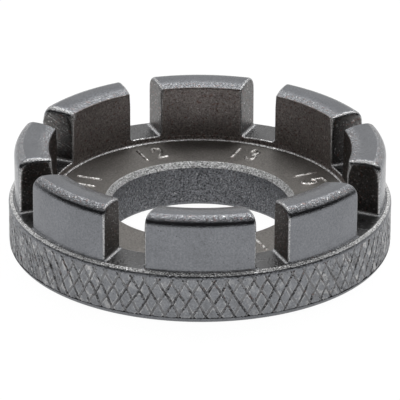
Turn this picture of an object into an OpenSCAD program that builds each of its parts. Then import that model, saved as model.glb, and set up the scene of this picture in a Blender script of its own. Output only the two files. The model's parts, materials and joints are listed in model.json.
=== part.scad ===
// Ring spoke wrench, 40 mm across: a knurled ring with eight slotted jaws on top, one slot for
// each nipple size. It is one plated steel piece. The nodes are its regions, which meet face to
// face: the web with the bore, the rim, the knurl, and the eight jaws between the slots.
// Lengths are in millimetres. The underside lies on z = 0 and the bore is on the Z axis.

/* [Rim] */
// Radius of the rim over the knurl
rim_r = 20; // [18:0.5:26]
// Width of the shelf outside the jaws
shelf_w = 0.65; // [0.65:0.05:1.5]
// Radius of the edge that rolls from the shelf down to the knurl
lip_round = 0.6; // [0.3:0.05:0.65]
// Radius of the rounding at the foot of the rim
foot_round = 1; // [0.3:0.05:1]

/* [Web] */
// Thickness of the flat web
web_t = 4.95; // [4:0.05:7]
// Step up from the web to the slot floors
seat_step = 0.65; // [0.4:0.05:1.5]
// Radius of the fillet where the web meets the ring of jaws
web_fillet = 0.3; // [0.1:0.05:0.6]
// Radius of the centre bore
bore_r = 9.4; // [6:0.1:12]
// Chamfer round the top of the bore
bore_top_chamfer = 0.56; // [0.2:0.02:1]
// Chamfer round the bottom of the bore
bore_foot_chamfer = 0.45; // [0.2:0.05:1]

/* [Jaws] */
// Thickness of the jaws, along a radius
jaw_t = 3.7; // [3:0.05:5]
// Height of the jaws above the slot floors
jaw_h = 5.85; // [3:0.05:8]
// Rounding of the outer top edge of a jaw
crown_out_round = 1.2; // [0.3:0.05:1.5]
// Rounding of the inner top edge of a jaw
crown_in_round = 0.55; // [0.2:0.05:1]
// Rounding of the top edges along a slot
slot_top_round = 0.4; // [0.1:0.05:0.6]
// Rounding of the upright edges at the outer mouth of a slot
mouth_round = 0.3; // [0.2:0.05:0.9]
// Rounding of the upright edges at the inner end of a slot
throat_round = 0.2; // [0.1:0.05:0.6]

/* [Slots] */
// Radius of the hollow fillets at the foot of a slot's walls
floor_fillet = 0.35; // [0.15:0.05:0.6]
// Width of the slot at 22 degrees
slot_1_w = 3.0; // [2.8:0.1:6]
// Width of the slot at 67 degrees
slot_2_w = 3.9; // [2.8:0.1:6]
// Width of the slot at 112 degrees
slot_3_w = 3.5; // [2.8:0.1:6]
// Width of the slot at 156 degrees
slot_4_w = 3.9; // [2.8:0.1:6]
// Width of the slot at 202 degrees
slot_5_w = 3.9; // [2.8:0.1:6]
// Width of the slot at 247 degrees
slot_6_w = 4.3; // [2.8:0.1:6]
// Width of the slot at 292 degrees
slot_7_w = 3.4; // [2.8:0.1:6]
// Width of the slot at 335 degrees
slot_8_w = 5.6; // [2.8:0.1:6]

/* [Knurl] */
// Number of diamonds round the rim
knurl_n = 90; // [60:2:110]
// Number of rows in which the grooves cross
knurl_rows = 4; // [2:1:6]
// Depth of the grooves
knurl_d = 0.2; // [0.1:0.05:0.4]
// Thickness of the knurled band, from its lands inwards
band_t = 0.8; // [0.6:0.05:1.5]
// Height of the plain foot below the knurl
band_foot = 1; // [1:0.05:1.6]

/* [Hidden] */
// How far the floor fillets are let down below the floor, as part of their radius, so that they
// end in a firm edge
fillet_drop_share = 0.15;
// Part of a half pitch that one side of a groove takes
groove_share = 0.33;
// Directions of the slots, counterclockwise from +X
slot_angles = [22.3, 66.6, 112, 156.4, 201.6, 246.7, 292.3, 334.9];
slot_widths = [slot_1_w, slot_2_w, slot_3_w, slot_4_w, slot_5_w, slot_6_w, slot_7_w, slot_8_w];
jaw_count = len(slot_angles);

seat_h = web_t + seat_step;
top_h = seat_h + jaw_h;
seat_r = rim_r - shelf_w;
jaw_in_r = seat_r - jaw_t;
web_r = jaw_in_r - web_fillet;
band_top = seat_h - lip_round;
band_core_r = rim_r - band_t;

// Cutters and blanks run past the faces that they cut by this much
overrun = 1;
// A rounding is set this far outside the faces it joins, so that it crosses them cleanly
blend = 0.02;
// Slot cutters and sector outlines reach this far from the axis
reach = rim_r + 4 * overrun;

steel = [0.40, 0.42, 0.44];
steel_bright = [0.52, 0.54, 0.56];
steel_dark = [0.32, 0.33, 0.35];
$fn = 128;

// Corner left over when a quarter circle of radius r rounds off the corner at [+, +]
module corner(r) {
    difference() {
        square(r + overrun);
        circle(r);
    }
}

// Web

module web_disc() {
    color(steel)
        rotate_extrude()
            polygon([
                [bore_r + bore_foot_chamfer, 0],
                [web_r, 0],
                [web_r, web_t],
                [bore_r + bore_top_chamfer, web_t],
                [bore_r, web_t - bore_top_chamfer],
                [bore_r, bore_foot_chamfer]
            ]);
}

// Rim

// The hollow fillet between the web and the wall under the jaws
module web_fillet_outline() {
    translate([web_r, web_t])
        difference() {
            square(web_fillet);
            translate([0, web_fillet])
                circle(web_fillet);
        }
}

module rim_ring() {
    color(steel_bright)
        rotate_extrude()
            difference() {
                union() {
                    translate([web_r, 0])
                        square([rim_r - web_r, web_t]);
                    translate([jaw_in_r, 0])
                        square([rim_r - jaw_in_r, seat_h]);
                    web_fillet_outline();
                }
                translate([rim_r - lip_round, seat_h - lip_round])
                    corner(lip_round);
                translate([rim_r - foot_round, foot_round])
                    mirror([0, 1])
                        corner(foot_round);
                translate([band_core_r, band_foot])
                    square([band_t + overrun, band_top - band_foot]);
            }
}

// Knurl: flat diamond lands with a V groove between them. Half pitches are counted round the rim
// and up it, so the grooves follow the lines where both counts change by the same amount.

half_turn = 180 / knurl_n;
half_rise = (band_top - band_foot) / (knurl_rows - 1 + 2 * groove_share);
groove_r = rim_r - knurl_d;
last_row = knurl_rows - 1;

// Rows of crossings are staggered by half a pitch
function stagger(row) = row % 2;

// One point per diamond: round and up in half pitches, at radius r
function ring(round, up, r) = [
    for (k = [0 : knurl_n - 1])
        let (angle = (2 * k + round) * half_turn)
        [r * cos(angle), r * sin(angle), band_foot + (up + groove_share) * half_rise]
];

// The outline of an end face: under a crossing, groove, land, land, groove
function end_rings(row, up) = [
    ring(stagger(row), up, rim_r),
    ring(stagger(row) + groove_share, up, groove_r),
    ring(stagger(row) + 2 * groove_share, up, rim_r),
    ring(stagger(row) + 2 - 2 * groove_share, up, rim_r),
    ring(stagger(row) + 2 - groove_share, up, groove_r)
];

function end_core(row, up) = ring(stagger(row) + 1, up, band_core_r / cos(half_turn));

knurl_rings = concat(
    [for (row = [0 : last_row]) ring(stagger(row), row, groove_r)],
    [for (row = [0 : last_row]) ring(stagger(row) + groove_share, row, rim_r)],
    [for (row = [0 : last_row]) ring(stagger(row) + 2 - groove_share, row, rim_r)],
    [for (row = [0 : last_row - 1]) ring(stagger(row) + 1, row + 1 - groove_share, rim_r)],
    [for (row = [1 : last_row]) ring(stagger(row) + 1, row - 1 + groove_share, rim_r)],
    end_rings(0, -groove_share),
    end_rings(last_row, last_row + groove_share),
    [end_core(0, -groove_share)],
    [end_core(last_row, last_row + groove_share)]
);

// Numbers of the points, in the order of knurl_rings
function point(ring_at, k) = ring_at * knurl_n + k % knurl_n;
function crossing(row, k) = point(row, k);
function west(row, k) = point(knurl_rows + row, k);
function east(row, k) = point(2 * knurl_rows + row, k);
function north(row, k) = point(3 * knurl_rows + row, k);
function south(row, k) = point(4 * knurl_rows - 2 + row, k);
function end_point(end, at, k) = point(5 * knurl_rows - 2 + 5 * end + at, k);
function core(end, k) = point(5 * knurl_rows + 8 + end, k);

function quad(a, b, c, d) = [[a, b, c], [a, c, d]];
function turned(faces, on) = on ? [for (f = faces) [f[2], f[1], f[0]]] : faces;

// Upper half of the diamond to the right of crossing k
function upper_half(row, k) = concat(
    [[west(row, k), north(row, k), east(row, k)]],
    quad(crossing(row, k), crossing(row + 1, k + stagger(row)), north(row, k), west(row, k)),
    quad(east(row, k), north(row, k), crossing(row + 1, k + stagger(row)), crossing(row, k + 1))
);

function lower_half(row, k) = concat(
    [[west(row, k), east(row, k), south(row, k)]],
    quad(west(row, k), south(row, k), crossing(row - 1, k + stagger(row)), crossing(row, k)),
    quad(crossing(row, k + 1), crossing(row - 1, k + stagger(row)), south(row, k), east(row, k))
);

// The short strip beyond the first or last row, and its share of the flat end
function end_strip(end, row, k) = concat(
    quad(west(row, k), east(row, k), end_point(end, 3, k), end_point(end, 2, k)),
    quad(crossing(row, k), west(row, k), end_point(end, 2, k), end_point(end, 1, k)),
    quad(east(row, k), crossing(row, k + 1), end_point(end, 4, k), end_point(end, 3, k)),
    [[crossing(row, k), end_point(end, 1, k), end_point(end, 0, k)]],
    [[crossing(row, k + 1), end_point(end, 0, k + 1), end_point(end, 4, k)]],
    [for (at = [0 : 3]) [end_point(end, at, k), end_point(end, at + 1, k), core(end, k)]],
    quad(end_point(end, 4, k), end_point(end, 0, k + 1), core(end, k + 1), core(end, k))
);

knurl_faces = [
    for (k = [0 : knurl_n - 1])
        each concat(
            [for (row = [0 : last_row - 1]) each upper_half(row, k)],
            [for (row = [1 : last_row]) each lower_half(row, k)],
            end_strip(0, 0, k),
            turned(end_strip(1, last_row, k), true),
            quad(core(0, k), core(0, k + 1), core(1, k + 1), core(1, k))
        )
];

module knurled_grip() {
    color(steel_dark)
        polyhedron(points = [for (r = knurl_rings) each r], faces = knurl_faces, convexity = 6);
}

// Jaws: a turned ring with rounded top edges, cut by the slots, whose walls run parallel to the
// slot's own direction. Jaw i stands between slot i and the next one round.

function next_slot(i) = i % jaw_count + 1;
function slot_angle(i) = slot_angles[i - 1];
function slot_half(i) = slot_widths[i - 1] / 2;
function jaw_from(i) = slot_angle(i);
function jaw_to(i) = slot_angle(next_slot(i)) + (i == jaw_count ? 360 : 0);

// How far along a slot a circle of radius r lies, where it stands across from the slot's middle
// by side and its centre is at radius at_r
function along_slot(at_r, side) = sqrt(at_r * at_r - side * side);

// Plan of what is cut off at both ends of a slot, to round its upright edges
module slot_ends_plan(i) {
    mouth_side = slot_half(i) + mouth_round - blend;
    throat_side = slot_half(i) + throat_round - blend;
    rotate(slot_angle(i))
        for (side = [0, 1])
            mirror([0, side]) {
                translate([along_slot(seat_r - mouth_round + blend, mouth_side), mouth_side])
                    mirror([0, 1])
                        corner(mouth_round);
                translate([along_slot(jaw_in_r + throat_round - blend, throat_side), throat_side])
                    rotate(180)
                        corner(throat_round);
            }
}

// Plan of the ring of jaws between the middles of jaw i's two slots, with the upright edges rounded
module jaw_plan(i) {
    middle = (jaw_from(i) + jaw_to(i)) / 2;
    difference() {
        intersection() {
            circle(seat_r);
            polygon([[0, 0], for (a = [jaw_from(i), middle, jaw_to(i)]) reach * [cos(a), sin(a)]]);
        }
        circle(jaw_in_r);
        slot_ends_plan(i);
        slot_ends_plan(next_slot(i));
    }
}

// The turned blank of the jaws, with its rounded outer and inner top edges
module crown_blank() {
    rotate_extrude()
        difference() {
            translate([jaw_in_r - blend, seat_h - overrun])
                square([jaw_t + 2 * blend, jaw_h + overrun]);
            translate([seat_r + blend - crown_out_round, top_h - crown_out_round])
                corner(crown_out_round);
            translate([jaw_in_r - blend + crown_in_round, top_h - crown_in_round])
                mirror([1, 0])
                    corner(crown_in_round);
        }
}

// Section across a slot, with hollow fillets at its foot and rounded edges beside its top
module slot_section(i) {
    difference() {
        translate([-slot_half(i), seat_h - overrun])
            square([2 * slot_half(i), jaw_h + 2 * overrun]);
        for (side = [0, 1])
            mirror([side, 0])
                translate([slot_half(i) + blend - floor_fillet,
                           seat_h + (1 - fillet_drop_share) * floor_fillet])
                    mirror([0, 1])
                        corner(floor_fillet);
    }
    for (side = [0, 1])
        mirror([side, 0])
            translate([slot_half(i) + slot_top_round - blend, top_h - slot_top_round + blend])
                mirror([1, 0])
                    corner(slot_top_round);
}

module slot_cut(i) {
    rotate(slot_angle(i))
        rotate([90, 0, 90])
            linear_extrude(reach)
                slot_section(i);
}

module jaw(i) {
    color(steel)
        difference() {
            intersection() {
                translate([0, 0, seat_h])
                    linear_extrude(jaw_h + overrun)
                        jaw_plan(i);
                crown_blank();
            }
            slot_cut(i);
            slot_cut(next_slot(i));
        }
}

web_disc();
rim_ring();
knurled_grip();
for (i = [1 : jaw_count])
    jaw(i);
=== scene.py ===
"""A ring spoke wrench: a knurled ring with a flat web and bore, crowned by eight rounded jaws.

The sizes come from the packed model, so every piece lies where its solid does.
"""

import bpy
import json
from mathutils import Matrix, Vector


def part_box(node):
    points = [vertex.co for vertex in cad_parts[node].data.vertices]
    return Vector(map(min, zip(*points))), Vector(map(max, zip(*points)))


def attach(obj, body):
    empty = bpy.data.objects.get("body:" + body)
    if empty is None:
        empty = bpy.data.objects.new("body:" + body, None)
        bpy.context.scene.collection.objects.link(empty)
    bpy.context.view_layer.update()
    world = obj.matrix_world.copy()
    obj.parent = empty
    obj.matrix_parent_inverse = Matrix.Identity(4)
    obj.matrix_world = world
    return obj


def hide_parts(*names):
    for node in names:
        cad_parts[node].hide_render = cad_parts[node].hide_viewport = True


bl_info = {
    "name": "Ring Spoke Wrench",
    "version": (1, 0, 0),
    "blender": (4, 5, 0),
    "location": "View3D > Sidebar > Spoke Wrench",
    "description": "Builds a plated ring spoke wrench on a pale studio floor",
    "category": "Add Mesh",
}

import json
import math

import bmesh
import bpy
import numpy as np
from mathutils import Matrix, Vector

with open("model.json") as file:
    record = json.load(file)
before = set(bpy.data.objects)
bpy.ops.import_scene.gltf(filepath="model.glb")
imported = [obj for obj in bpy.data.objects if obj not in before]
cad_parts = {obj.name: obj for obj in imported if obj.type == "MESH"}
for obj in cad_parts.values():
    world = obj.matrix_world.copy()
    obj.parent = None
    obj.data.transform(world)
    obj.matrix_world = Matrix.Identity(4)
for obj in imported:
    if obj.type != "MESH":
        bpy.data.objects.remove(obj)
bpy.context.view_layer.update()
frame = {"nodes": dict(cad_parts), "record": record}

MM = 0.001
# Steps round a turned piece, and the angle from which an edge stays sharp
TURNS = 360
HARD_EDGE = math.radians(40)
# Points closer than WELD are joined, shorter edges than TINY_EDGE go, and points within
# SAME_HEIGHT count as level. Above PLAIN_WALL the solids' slot walls are free of their fillets.
WELD = 0.0005 * MM
TINY_EDGE = 0.0002 * MM
SAME_HEIGHT = 0.01 * MM
PLAIN_WALL = 0.5 * MM


# Sizes read from the packed model

def node_points(node):
    """The points of a node as x, y, z columns, in metres."""
    vertices = frame["nodes"][node].data.vertices
    points = np.empty(len(vertices) * 3, np.float32)
    vertices.foreach_get("co", points)
    return points.reshape(-1, 3).astype(float)


def radius_of(points):
    """Distance of each point from the bore axis."""
    return np.hypot(points[:, 0], points[:, 1])


def at_height(points, z):
    """The points that lie at this height."""
    return points[np.abs(points[:, 2] - z) < SAME_HEIGHT]


class WrenchSizes:
    """Radii and heights of the wrench, measured on its solids."""

    def __init__(self):
        web, rim, grip = (node_points(n) for n in ("web_disc", "rim_ring", "knurled_grip"))
        jaw = node_points("jaw_1")
        self.rim_r = float(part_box("rim_ring")[1].x)
        self.web_t = float(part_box("web_disc")[1].z)
        self.seat_h = float(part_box("rim_ring")[1].z)
        self.top_h = float(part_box("jaw_1")[1].z)
        self.band_foot = float(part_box("knurled_grip")[0].z)
        self.band_top = float(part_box("knurled_grip")[1].z)
        self.bore_r = float(radius_of(web).min())
        self.bore_top_r = float(radius_of(at_height(web, self.web_t)).min())
        self.bore_foot_r = float(radius_of(at_height(web, 0)).min())
        self.web_r = float(radius_of(rim).min())
        self.foot_round = self.rim_r - float(radius_of(at_height(rim, 0)).max())
        self.seat_r = float(radius_of(jaw).max())
        self.jaw_in_r = float(radius_of(jaw).min())
        self.band_core_r = float(radius_of(grip).min())
        self.lip_round = self.seat_h - self.band_top


class Slot:
    """Direction and half width of one slot, from its mount and the two jaws beside it."""

    def __init__(self, mount, jaw_before, jaw_after):
        self.angle = math.atan2(mount["axis"][1], mount["axis"][0])
        across = np.array([-math.sin(self.angle), math.cos(self.angle)])
        gaps = []
        for node in (jaw_before, jaw_after):
            points = node_points(node)
            points = points[points[:, 2] > SIZES.seat_h + PLAIN_WALL]
            gaps.append(float(np.abs(points[:, :2] @ across).min()))
        self.half = sum(gaps) / 2


SIZES = WrenchSizes()
JAWS = sorted(n for n in frame["nodes"] if n.startswith("jaw_"))
SLOT_MOUNTS = [m for m in frame["record"]["mounts"] if m["name"].startswith("slot_")]
SLOTS = [Slot(mount, JAWS[i - 1], JAWS[i]) for i, mount in enumerate(SLOT_MOUNTS)]


# Mesh tools

def rounded_outline(corners, steps=8):
    """Points of a closed outline through corners (x, y, radius), each rounded by an arc."""
    outline = []
    for i, (x, y, radius) in enumerate(corners):
        here = Vector((x, y))
        if radius <= 0:
            outline.append(here)
            continue
        back = (Vector(corners[i - 1][:2]) - here).normalized()
        ahead = (Vector(corners[(i + 1) % len(corners)][:2]) - here).normalized()
        half = back.angle(ahead) / 2
        centre = here + (back + ahead).normalized() * (radius / math.sin(half))
        start = here + back * (radius / math.tan(half)) - centre
        end = here + ahead * (radius / math.tan(half)) - centre
        outline += [centre + radius * start.slerp(end, s / steps) for s in range(steps + 1)]
    return outline


def finished_piece(name, mesh, material, nodes=()):
    """Makes the mesh a smooth closed piece that rides on the wrench and stands for the nodes."""
    work = bmesh.new()
    work.from_mesh(mesh)
    bmesh.ops.remove_doubles(work, verts=work.verts, dist=WELD)
    bmesh.ops.dissolve_degenerate(work, edges=work.edges, dist=TINY_EDGE)
    bmesh.ops.recalc_face_normals(work, faces=work.faces)
    work.to_mesh(mesh)
    work.free()
    mesh.shade_smooth()
    mesh.set_sharp_from_angle(angle=HARD_EDGE)
    piece = bpy.data.objects.new(name, mesh)
    bpy.context.scene.collection.objects.link(piece)
    piece.data.materials.append(material)
    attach(piece, "root")
    if nodes:
        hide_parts(*nodes)


def mark_wear_and_glint(mesh, wear_and_glint):
    """Stores how far each point is bright, up to 1, from polishing by use together with painted glints, or
    darker in a groove, down to -1.
    """
    mesh.attributes.new("wear_and_glint", "FLOAT", "POINT").data.foreach_set("value", np.asarray(wear_and_glint, np.float32))


def mesh_of(name, points, faces):
    """A mesh of these points and faces."""
    mesh = bpy.data.meshes.new(name)
    mesh.from_pydata(np.asarray(points).tolist(), [], np.asarray(faces).tolist())
    return mesh


def grid_faces(rows, columns, wrap_rows=False, wrap_columns=False):
    """Quads over a grid of points numbered row by row."""
    r = np.arange(rows if wrap_rows else rows - 1)
    c = np.arange(columns if wrap_columns else columns - 1)
    r, c = (g.ravel() for g in np.meshgrid(r, c, indexing="ij"))
    r_next, c_next = (r + 1) % rows, (c + 1) % columns
    return np.stack([r * columns + c, r * columns + c_next,
                     r_next * columns + c_next, r_next * columns + c], axis=1)


def polar(radius, angle, z):
    """Points at these radii, angles and heights, one row for each."""
    x, y, z = np.broadcast_arrays(radius * np.cos(angle), radius * np.sin(angle), z)
    return np.stack([x, y, z], axis=-1).reshape(-1, 3)


def lathe(name, outline):
    """A closed outline of (radius, height) points turned about the bore axis."""
    angles = np.linspace(0, 2 * math.pi, TURNS, endpoint=False)
    radii, heights = np.array(outline).T
    return mesh_of(name, polar(radii, angles[:, None], heights),
                   grid_faces(TURNS, len(outline), True, True))


def smooth_step(x, low, high):
    """0 below low and 1 above high, with a smooth change between them."""
    t = np.clip((x - low) / (high - low), 0, 1)
    return t * t * (3 - 2 * t)


NOISE_WAVES = 7
NOISE_SPREAD = (0.7, 1.6)


def wave_noise(points, size, seed):
    """Soft waves of about the given size, from -1 to 1, the same on every run."""
    draw = np.random.default_rng(seed)
    total = np.zeros(len(points))
    for _ in range(NOISE_WAVES):
        direction = draw.normal(size=3)
        direction /= np.linalg.norm(direction)
        pitch = size * draw.uniform(*NOISE_SPREAD)
        total += np.sin(points @ direction * (2 * math.pi / pitch) + draw.uniform(0, 2 * math.pi))
    return total / NOISE_WAVES


# Web and rim

def web_mesh(edge):
    """The flat web, turned from its section with the bore's two chamfers."""
    s = SIZES
    return lathe("web", rounded_outline([
        (s.bore_foot_r, 0, edge.bore_edge),
        (s.web_r, 0, 0),
        (s.web_r, s.web_t, 0),
        (s.bore_top_r, s.web_t, edge.bore_edge),
        (s.bore_r, s.web_t - (s.bore_top_r - s.bore_r), edge.bore_edge),
        (s.bore_r, s.bore_foot_r - s.bore_r, edge.bore_edge),
    ]))


def foot_radius(z):
    """Radius of the rim's outer face at a height, over its rounded foot."""
    r = SIZES.foot_round
    return SIZES.rim_r - r + np.sqrt(r ** 2 - np.clip(r - z, 0, r) ** 2)


FOOT_POINTS = 12
# Straight stretch between the band's edge and the lip, as a share of that edge, and radius of
# the fillet beside the web, as a share of the step's width
STRAIGHT_SHARE = 0.2
FILLET_SHARE = 0.98


def rim_mesh(edge, knurl):
    """The rim, turned from its section with the rounded foot, the lip and the slot floors."""
    s = SIZES
    knurl_foot = s.band_foot - knurl.overrun
    turns = np.linspace(0, math.acos(1 - knurl_foot / s.foot_round), FOOT_POINTS)
    foot = [(float(foot_radius(z)), float(z), 0) for z in s.foot_round * (1 - np.cos(turns))]
    return lathe("rim", rounded_outline([
        (s.web_r, 0, 0),
        *foot,
        (s.band_core_r, knurl_foot, 0),
        (s.band_core_r, s.band_top, 0),
        (s.rim_r, s.band_top, edge.band_edge),
        (s.rim_r, s.seat_h, s.lip_round - edge.band_edge * (1 + STRAIGHT_SHARE)),
        (s.jaw_in_r, s.seat_h, edge.slot_sill),
        (s.jaw_in_r, s.web_t, (s.jaw_in_r - s.web_r) * FILLET_SHARE),
        (s.web_r, s.web_t, 0),
    ]))


# Knurl

# Mesh lines across a groove and reach of the burr beside it, as shares of the groove's half width
GROOVE_LINE_SHARES = (-1.5, -1.2, -0.9, -0.45, 0.0, 0.45, 0.9, 1.2, 1.5)
BURR_SHARES = (1.05, 1.4)
BOTTOM_SHARE = 0.5
# Size and seed of the knurl's long swells, short strikes, wandering and crumbs
KNURL_WAVES = ((9 * MM, 5), (2.2 * MM, 6), (3 * MM, 7), (0.9 * MM, 8))
# How the lean, the swells and a shorter wave change the depth of each family of grooves, and how
# deep the tracks are that double it
FALLING = {"lean": -1, "swell": 1.3, "short": 1.1, "doubled": 0.8}
RISING = {"lean": 1, "swell": -1.1, "short": 1.2, "doubled": 0.6}
DEPTH_RANGE = (0.15, 1.9)
# The tracks double towards the left and right sides, unevenly
DOUBLED_SWELL = 0.6
DOUBLED_STRIKE = 0.3
DOUBLED_RANGE = (0.2, 0.8)
# Strength of the torn and bright crumbs everywhere, and what the two sides add to it; the bright crumbs are
# polishing by use together with painted glints
CRUMBS_ALL_ROUND = 0.66
CRUMBS_AT_SIDES = 2.64
# Brightness painted on the burrs as a painted glint, and how far torn places turn darker
BURR_GLINT = 0.8
TORN_DULL = 0.8


def off_groove(position):
    """Distance from the nearest groove of a family, whose grooves lie 2 apart."""
    return np.abs((position + 1) % 2 - 1)


def groove_depth(position, depth, half_width):
    """Depth of V-shaped grooves of this depth and half width."""
    return depth * np.clip(1 - off_groove(position) / half_width, 0, 1)


def knurl_places(knurl):
    """Where each mesh point lies among the falling and among the rising grooves, in half pitches."""
    track = knurl.second_track
    period = np.append(np.array(GROOVE_LINE_SHARES) * knurl.groove, [1 - track, 1.0, 1 + track])
    lines = (2 * np.arange(knurl.diamonds)[:, None] + period).ravel()

    def line(i):
        return lines[i % len(lines)] + (i // len(lines)) * 2 * knurl.diamonds

    start = np.arange(len(lines))[:, None]
    back = np.arange(-len(period), len(period) * (knurl.rows + 1))[None, :]
    return line(start + 0 * back), line(start - back)


def knurl_mesh(knurl):
    """Diamond lands between two families of grooves, on a grid that runs along the grooves."""
    s = SIZES
    half_turn = math.pi / knurl.diamonds
    foot = s.band_foot - knurl.overrun
    half_rise = (s.band_top - foot) / (knurl.rows - 1 + 2 * knurl.groove)
    falling, rising = knurl_places(knurl)
    angle = (falling + rising) / 2 * half_turn
    z = foot + ((falling - rising) / 2 + knurl.groove) * half_rise

    flat = np.stack([angle.ravel() * s.rim_r, z.ravel(), 0 * z.ravel()], axis=1)
    swell, strike, stray, crumbs = (wave_noise(flat, size, seed).reshape(z.shape)
                                    for size, seed in KNURL_WAVES)
    to_right = np.cos(angle)
    crumbs = crumbs * (CRUMBS_ALL_ROUND + CRUMBS_AT_SIDES * to_right ** 2)
    torn = np.clip(-crumbs, 0, 1)
    doubled = smooth_step(to_right ** 2 + DOUBLED_SWELL * swell + DOUBLED_STRIKE * strike, *DOUBLED_RANGE)

    def cut(position, short, family):
        """Depth of one family of grooves and of the shallow tracks halfway between them."""
        uneven = (1 + family["lean"] * knurl.lean * to_right
                  + family["swell"] * swell + family["short"] * short)
        main = groove_depth(position, knurl.depth * np.clip(uneven, *DEPTH_RANGE), knurl.groove)
        tracks = groove_depth(position + 1, knurl.depth * family["doubled"] * doubled, knurl.second_track)
        return np.maximum(main, tracks)

    def on_burr(position):
        away = off_groove(position) / knurl.groove
        return (away > BURR_SHARES[0]) & (away < BURR_SHARES[1])

    cuts = np.maximum(cut(falling, strike, FALLING), cut(rising, stray, RISING))
    burr = (on_burr(falling) | on_burr(rising)).astype(float)
    run_out = knurl.end_drop * (1 - smooth_step(np.minimum(z - foot, s.band_top - z), 0, knurl.end_run))
    low = run_out + knurl.burr * (1 - burr * (1 + strike) / 2) + knurl.tear * torn
    points = polar(foot_radius(z) - cuts - low, angle + knurl.stray * half_turn * stray, z)

    count, columns = z.shape
    i, k = (g.ravel() for g in np.meshgrid(np.arange(count), np.arange(1, columns - 1), indexing="ij"))
    ahead = (i + 1) % count
    mesh = mesh_of("knurl", points, np.stack([i * columns + k, ahead * columns + k + 1,
                                              ahead * columns + k, i * columns + k - 1], axis=1))
    bottom = np.minimum(off_groove(falling), off_groove(rising)) < BOTTOM_SHARE * knurl.groove
    # Burrs and flecks marked bright: polishing by use together with painted glints, stronger at the sides
    rubbed_and_glint = np.maximum(BURR_GLINT * burr, knurl.flecks * np.clip(crumbs, 0, 1)) - TORN_DULL * torn
    mark_wear_and_glint(mesh, np.where(bottom, -1.0, rubbed_and_glint).ravel())
    trim_knurl(mesh, foot)
    return mesh


def trim_knurl(mesh, foot):
    """Cuts the band off level at both ends and closes it with end faces and an inner wall."""
    s = SIZES
    work = bmesh.new()
    work.from_mesh(mesh)
    for height, up in ((foot, -1), (s.band_top, 1)):
        bmesh.ops.bisect_plane(work, geom=work.verts[:] + work.edges[:] + work.faces[:],
                               plane_co=(0, 0, height), plane_no=(0, 0, up), clear_outer=True,
                               dist=WELD)
    open_edges = [e for e in work.edges if e.is_boundary]
    made = bmesh.ops.extrude_edge_only(work, edges=open_edges)["geom"]
    inner = [g for g in made if isinstance(g, bmesh.types.BMVert)]
    for vert in inner:
        shrink = s.band_core_r / math.hypot(vert.co.x, vert.co.y)
        vert.co.x *= shrink
        vert.co.y *= shrink
    bmesh.ops.bridge_loops(work, edges=[e for e in work.edges if e.is_boundary])
    work.to_mesh(mesh)
    work.free()


# Jaws

# Jaws with more wear at the top of a slot wall: factors for the walls at their start and end
WORN_EDGES = {1: (1.2, 1), 3: (1, 2.1), 4: (1, 1.6), 8: (1.8, 1)}
# Half the stretch over which the throat's rounding turns into the mouth's, and where, below the
# top, the upright roundings begin and have turned into the slot's top one
MOUTH_BLEND = 0.6 * MM
TOP_BLEND = (2.0 * MM, 0.5 * MM)
CAST_WAVE = 3.5 * MM
# How the mesh settles on the jaw: the step that feels the slope, the least slope, the rounds, and
# how far above the fillets the points still move only level with the floor
FEEL = 0.002 * MM
LEAST_SLOPE = 0.05
SETTLE_ROUNDS = 7
LEVEL_ABOVE = 0.5 * MM
# Spacing of the jaw's mesh away from its edges, reach of the fine part beside the slots, and
# rows over a fillet
COARSE_ACROSS = 0.5 * MM
COARSE_UP = 0.6 * MM
FINE_BESIDE_SLOT = 1.1 * MM
FILLET_ROWS = 8


class JawShape:
    """The rounded block between two slots, as a distance from its surface."""

    def __init__(self, number, before, after, rounds):
        s = SIZES
        self.number = number
        self.before, self.after = before, after
        self.rounds = rounds
        self.in_r = s.jaw_in_r + rounds.ledge
        self.out_r = s.seat_r
        self.across_before = np.array([-math.sin(before.angle), math.cos(before.angle)])
        self.across_after = np.array([-math.sin(after.angle), math.cos(after.angle)])

    def flare(self, z, fillet):
        """How far a hollow fillet at the foot stands out from its wall at this height."""
        drop = np.clip(fillet - (z - SIZES.seat_h), 0, fillet)
        return fillet - np.sqrt(fillet ** 2 - drop ** 2)

    def distance(self, p):
        """How far each point lies outside the surface, or below zero inside it."""
        rounds = self.rounds
        radius = np.hypot(p[:, 0], p[:, 1])
        top = p[:, 2] - SIZES.top_h
        outer, inner = radius - self.out_r, self.in_r - radius
        flare = self.flare(p[:, 2], rounds.floor_fillet)
        outer = outer - self.flare(p[:, 2], rounds.foot_fillet)
        wall_before = self.before.half - flare - p[:, :2] @ self.across_before
        wall_after = self.after.half - flare + p[:, :2] @ self.across_after
        walls = np.maximum(wall_before, wall_after)
        worn_before, worn_after = WORN_EDGES.get(self.number, (1, 1))
        slot_top = rounds.slot_top * np.where(wall_before > wall_after, worn_before, worn_after)
        width, drop = rounds.bevel_width, rounds.bevel_drop
        bevel = (drop * inner + width * top + width * drop) / math.hypot(width, drop)
        body = rounded_meet(rounded_meet(top, outer, rounds.crown_out), bevel, rounds.bevel_round)
        body = rounded_meet(body, inner, rounds.crown_in)
        middle = (self.in_r + self.out_r) / 2
        outward = smooth_step(radius, middle - MOUTH_BLEND, middle + MOUTH_BLEND)
        upright = rounds.throat + (rounds.mouth - rounds.throat) * outward
        high = smooth_step(top, -TOP_BLEND[0], -TOP_BLEND[1])
        edge = upright + (slot_top - upright) * high
        cast = rounds.waviness * wave_noise(p, CAST_WAVE, self.number)
        return rounded_meet(body, walls, edge) + cast

    def settle(self, p, level):
        """Moves points onto the surface. Points at the foot move only level with the floor."""
        for _ in range(SETTLE_ROUNDS):
            here = self.distance(p)
            slope = np.stack([(self.distance(p + step) - self.distance(p - step)) / (2 * FEEL)
                              for step in np.eye(3) * FEEL], axis=1)
            slope[level, 2] = 0
            p = p - slope * (here / np.maximum((slope ** 2).sum(axis=1), LEAST_SLOPE))[:, None]
        return p


def rounded_meet(a, b, radius):
    """Distance to the solid inside both a and b, with the edge between them rounded."""
    over = np.hypot(np.maximum(a + radius, 0), np.maximum(b + radius, 0))
    return np.minimum(np.maximum(a, b), -radius) + over


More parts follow.
